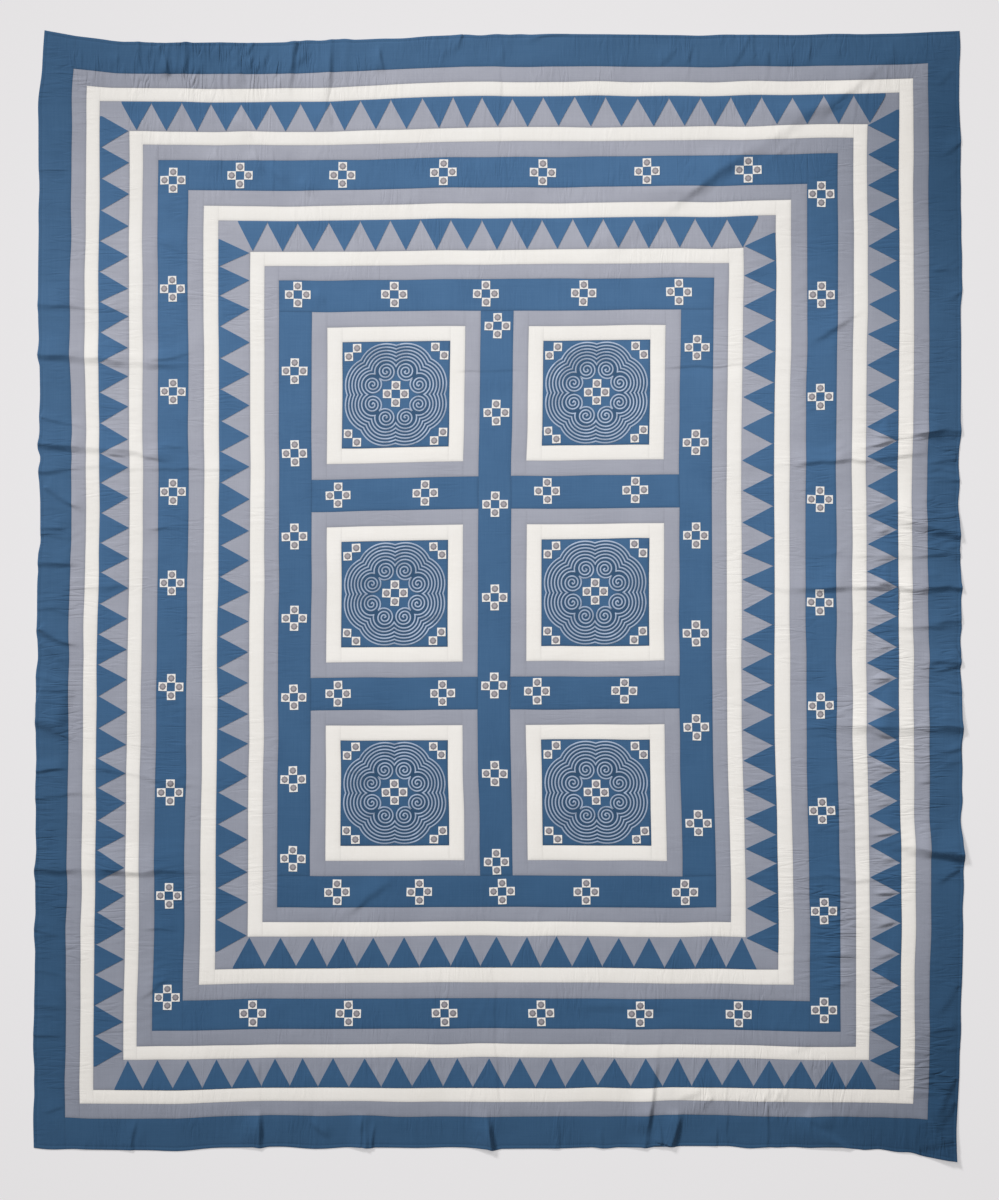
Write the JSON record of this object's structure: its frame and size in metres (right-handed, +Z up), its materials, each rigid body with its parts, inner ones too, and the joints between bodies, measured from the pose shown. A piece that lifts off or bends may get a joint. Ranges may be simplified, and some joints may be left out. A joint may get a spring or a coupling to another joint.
{
  "type": "pieced cotton bedspread",
  "caption": "Hand-pieced cotton bedspread laid out flat: a field of spiral blocks in blue sashes, framed by rings of plain, sawtooth and cross-set strips in blue, grey and white.",
  "frame": {"origin": "middle of the laid-out sheet, on the surface it rests on", "axes": "+Z up out of the face, +Y along the length towards the head end, +X across the width to the right"},
  "size_m": [2.3017, 2.7956, 0.016],
  "materials": {
    "blue_cotton": "matte plain-weave cotton, slate blue",
    "grey_cotton": "matte plain-weave cotton, pale blue-grey",
    "white_cotton": "matte plain-weave cotton, soft white"
  },
  "bodies": {
    "root": {"border_left": "blue_cotton", "border_right": "blue_cotton", "border_top": "blue_cotton", "border_bottom": "blue_cotton", "grey_1_left": "grey_cotton", "grey_1_right": "grey_cotton", "grey_1_top": "grey_cotton", "grey_1_bottom": "grey_cotton", "white_1_left": "white_cotton", "white_1_right": "white_cotton", "white_1_top": "white_cotton", "white_1_bottom": "white_cotton", "teeth_1_left": "grey_cotton", "teeth_1_right": "grey_cotton", "teeth_1_top": "grey_cotton", "teeth_1_bottom": "grey_cotton", "white_2_left": "white_cotton", "white_2_right": "white_cotton", "white_2_top": "white_cotton", "white_2_bottom": "white_cotton", "grey_2_left": "grey_cotton", "grey_2_right": "grey_cotton", "grey_2_top": "grey_cotton", "grey_2_bottom": "grey_cotton", "band_left": "blue_cotton", "band_right": "blue_cotton", "band_top": "blue_cotton", "band_bottom": "blue_cotton", "grey_3_left": "grey_cotton", "grey_3_right": "grey_cotton", "grey_3_top": "grey_cotton", "grey_3_bottom": "grey_cotton", "white_3_left": "white_cotton", "white_3_right": "white_cotton", "white_3_top": "white_cotton", "white_3_bottom": "white_cotton", "teeth_2_left": "grey_cotton", "teeth_2_right": "grey_cotton", "teeth_2_top": "grey_cotton", "teeth_2_bottom": "grey_cotton", "white_4_left": "white_cotton", "white_4_right": "white_cotton", "white_4_top": "white_cotton", "white_4_bottom": "white_cotton", "grey_4_left": "grey_cotton", "grey_4_right": "grey_cotton", "grey_4_top": "grey_cotton", "grey_4_bottom": "grey_cotton", "sash_top": "blue_cotton", "sash_bottom": "blue_cotton", "sash_left": "blue_cotton", "sash_middle": "blue_cotton", "sash_right": "blue_cotton", "block_1_left": "blue_cotton", "block_1_right": "blue_cotton", "block_2_left": "blue_cotton", "block_2_right": "blue_cotton", "block_3_left": "blue_cotton", "block_3_right": "blue_cotton"}
  },
  "joints": []
}
